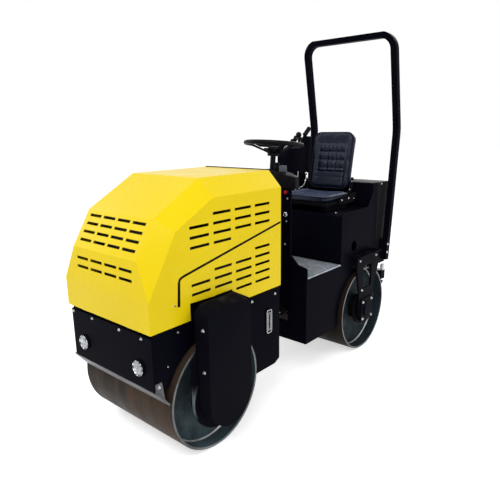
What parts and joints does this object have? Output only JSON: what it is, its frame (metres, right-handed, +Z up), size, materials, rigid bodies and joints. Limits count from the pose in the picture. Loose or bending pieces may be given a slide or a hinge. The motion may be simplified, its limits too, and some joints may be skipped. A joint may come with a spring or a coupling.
{
  "type": "ride-on mini vibratory roller",
  "caption": "Small articulated ride-on roller with two steel drums, faceted engine hood, step platform, seat, steering wheel and roll bar.",
  "frame": {"origin": "on the ground, under the middle of the overall box", "axes": "+Z up, the machine faces -Y, its left side is +X"},
  "size_m": [0.83, 2.1336, 2.05],
  "materials": {
    "yellow_paint": "gloss",
    "black_paint": "satin",
    "guard_paint": "satin",
    "drum_steel": "worn",
    "bright_steel": "satin",
    "chequer": "satin",
    "engine": "rough",
    "vinyl": "satin",
    "lens": "gloss",
    "red_plastic": "gloss",
    "black_plastic": "matte"
  },
  "bodies": {
    "rear_module": {"pivot_pin": "bright_steel", "rear_frame": "black_paint", "floor_plate": "chequer", "seat_box": "black_paint", "water_tank": "black_plastic", "tank_cap": "black_plastic", "rear_yokes": "black_paint", "rear_motors": "guard_paint", "rops": "black_paint", "rops_mounts": "black_paint", "console": "black_paint", "dash": "black_paint", "steering_column": "black_paint", "side_console": "black_paint", "levers": "black_plastic", "switches": "red_plastic", "seat_frame": "black_paint", "seat_pan": "guard_paint", "seat_cushion": "vinyl", "seat_back": "vinyl", "rear_bumper": "black_paint", "rear_scraper": "bright_steel"},
    "front_module": {"front_frame": "black_paint", "engine_block": "engine", "radiator_core": "engine", "fuel_tank": "black_plastic", "firewall": "black_paint", "hood_hinges": "black_paint", "front_yokes": "black_paint", "motor_guards": "guard_paint", "headlights": "lens", "front_scraper": "bright_steel", "oil_gauge": "bright_steel"},
    "hood": {"hood": "yellow_paint"},
    "front_drum": {"front_drum": "drum_steel", "front_drum_hubs": "guard_paint"},
    "rear_drum": {"rear_drum": "drum_steel", "rear_drum_hubs": "guard_paint"},
    "pivot": {"pivot_block": "black_paint"},
    "steering_barrel": {"steer_barrel": "black_paint"},
    "steering_rod": {"steer_rod": "bright_steel"},
    "steering_wheel": {"steering_wheel": "black_plastic"}
  },
  "joints": [
    {"name": "articulation", "type": "hinge", "parent": "rear_module", "child": "pivot", "pos_m": [0, -0.077, 0.4], "axis": [0, 0, 1], "range_deg": [-30, 30]},
    {"name": "oscillation", "type": "hinge", "parent": "pivot", "child": "front_module", "pos_m": [0, -0.077, 0.4], "axis": [0, 1, 0], "range_deg": [-5, 5]},
    {"name": "front_drum_spin", "type": "hinge", "parent": "front_module", "child": "front_drum", "pos_m": [0, -0.713, 0.28], "axis": [1, 0, 0], "continuous": true},
    {"name": "rear_drum_spin", "type": "hinge", "parent": "rear_module", "child": "rear_drum", "pos_m": [0, 0.687, 0.28], "axis": [1, 0, 0], "continuous": true},
    {"name": "hood_hinge", "type": "hinge", "parent": "front_module", "child": "hood", "pos_m": [0, -1.049, 0.665], "axis": [1, 0, 0], "range_deg": [0, 50]},
    {"name": "steering_wheel_turn", "type": "hinge", "parent": "rear_module", "child": "steering_wheel", "pos_m": [0, 0.128, 1.371], "axis": [0, 0.1045, 0.9945], "continuous": true},
    {"name": "barrel_swing", "type": "hinge", "parent": "rear_module", "child": "steering_barrel", "pos_m": [0.118, 0.243, 0.4], "axis": [0, 0, 1], "range_deg": [-6, 6]},
    {"name": "rod_slide", "type": "slide", "parent": "steering_barrel", "child": "steering_rod", "axis": [0, -1, 0], "range_m": [-0.0618, 0.0618]}
  ],
  "couplings": [
    {"joint": "barrel_swing", "follows": "articulation", "ratio": -0.02},
    {"joint": "rod_slide", "follows": "articulation", "m_per_rad": -0.118}
  ]
}
